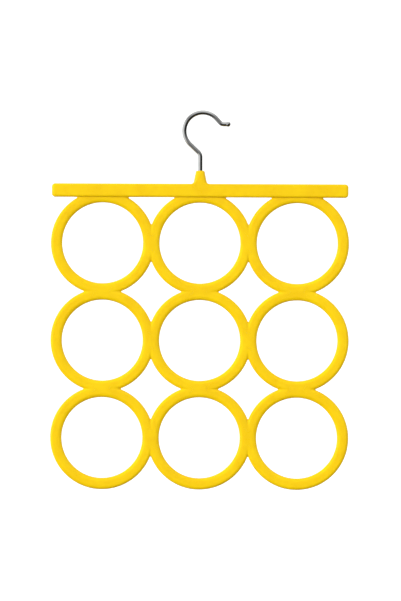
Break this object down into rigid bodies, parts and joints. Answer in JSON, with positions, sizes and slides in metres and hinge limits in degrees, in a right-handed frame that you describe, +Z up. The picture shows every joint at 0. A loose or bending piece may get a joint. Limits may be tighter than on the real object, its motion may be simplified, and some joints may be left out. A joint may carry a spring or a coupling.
{
  "type": "scarf hanger",
  "caption": "Flat plastic hanger with rows of joined rings below a straight bar, hung from a swivelling wire hook. Scarves, belts or ties are drawn through the rings.",
  "frame": {"origin": "on the swivel axis, where a wardrobe rod touches the inside of the hook's crook", "axes": "+Z up along the hook's stem, +X to the right along the top bar as seen from the front, +Y to the back, along the rod"},
  "size_m": [0.277, 0.009, 0.3524],
  "materials": {
    "hook_wire": "bright chrome plate on drawn steel wire",
    "panel_plastic": "smooth moulded polypropylene, satin gloss, warm yellow"
  },
  "bodies": {
    "hook": {"hook": "hook_wire"},
    "panel": {"top_bar": "panel_plastic", "ring_top_left": "panel_plastic", "ring_top_middle": "panel_plastic", "ring_top_right": "panel_plastic", "ring_middle_left": "panel_plastic", "ring_centre": "panel_plastic", "ring_middle_right": "panel_plastic", "ring_bottom_left": "panel_plastic", "ring_bottom_middle": "panel_plastic", "ring_bottom_right": "panel_plastic"}
  },
  "joints": [
    {"name": "swivel", "type": "hinge", "parent": "hook", "child": "panel", "pos_m": [0, 0, -0.05184], "axis": [0, 0, 1], "continuous": true}
  ]
}
